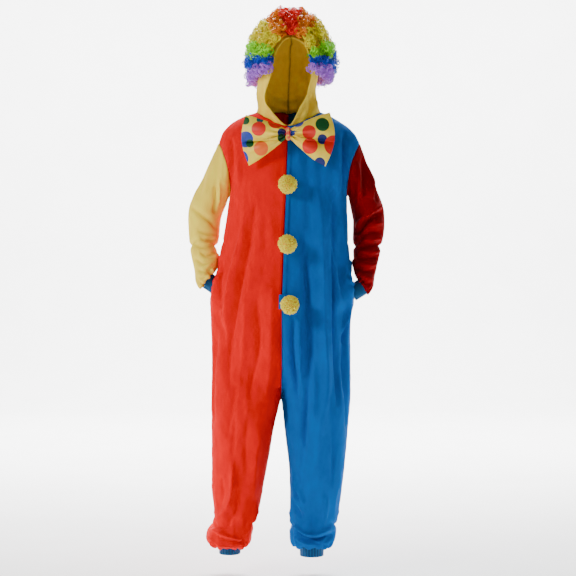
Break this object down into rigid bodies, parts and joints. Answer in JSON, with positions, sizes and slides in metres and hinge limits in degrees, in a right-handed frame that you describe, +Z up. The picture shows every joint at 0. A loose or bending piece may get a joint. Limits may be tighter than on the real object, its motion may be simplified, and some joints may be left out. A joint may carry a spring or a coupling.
{
  "type": "clown jumpsuit",
  "caption": "Hooded fleece clown jumpsuit in colour-blocked red, blue and yellow, with curly wig hood, dotted bow, pompoms, pockets, cuffed wrists and ankles.",
  "frame": {"origin": "between the wearer's shoulders at the base of the neck, where the jumpsuit hangs from the shoulders", "axes": "+Z up along the body, +X to the wearer's left, -Y to the front"},
  "size_m": [0.649, 0.3669, 1.7676],
  "materials": {
    "fleece_red": "soft brushed fleece",
    "fleece_blue": "soft brushed fleece",
    "fleece_yellow": "soft brushed fleece",
    "fleece_dark_red": "soft brushed fleece",
    "rib_blue": "ribbed knit",
    "pompom_yarn": "cut wool yarn",
    "bow_satin": "printed satin with round dots",
    "curls_red": "curly fibre",
    "curls_orange": "curly fibre",
    "curls_yellow": "curly fibre",
    "curls_green": "curly fibre",
    "curls_blue": "curly fibre",
    "curls_purple": "curly fibre"
  },
  "bodies": {
    "root": {"front_right": "fleece_red", "front_left": "fleece_blue", "back_right": "fleece_red", "back_left": "fleece_blue", "sleeve_right": "fleece_yellow", "sleeve_left": "fleece_dark_red", "wrist_cuff_right": "rib_blue", "wrist_cuff_left": "rib_blue", "ankle_cuff_right": "rib_blue", "ankle_cuff_left": "rib_blue", "hood_right": "fleece_yellow", "hood_left": "fleece_yellow", "placket": "fleece_blue", "placket_tab": "fleece_blue", "pocket_bag_right": "fleece_blue", "pocket_bag_left": "fleece_blue", "bow_wing_right": "bow_satin", "bow_wing_left": "bow_satin", "bow_knot": "bow_satin", "pompom_top": "pompom_yarn", "pompom_middle": "pompom_yarn", "pompom_bottom": "pompom_yarn", "curls_red": "curls_red", "curls_orange": "curls_orange", "curls_yellow": "curls_yellow", "curls_green": "curls_green", "curls_blue": "curls_blue", "curls_purple": "curls_purple"}
  },
  "joints": []
}
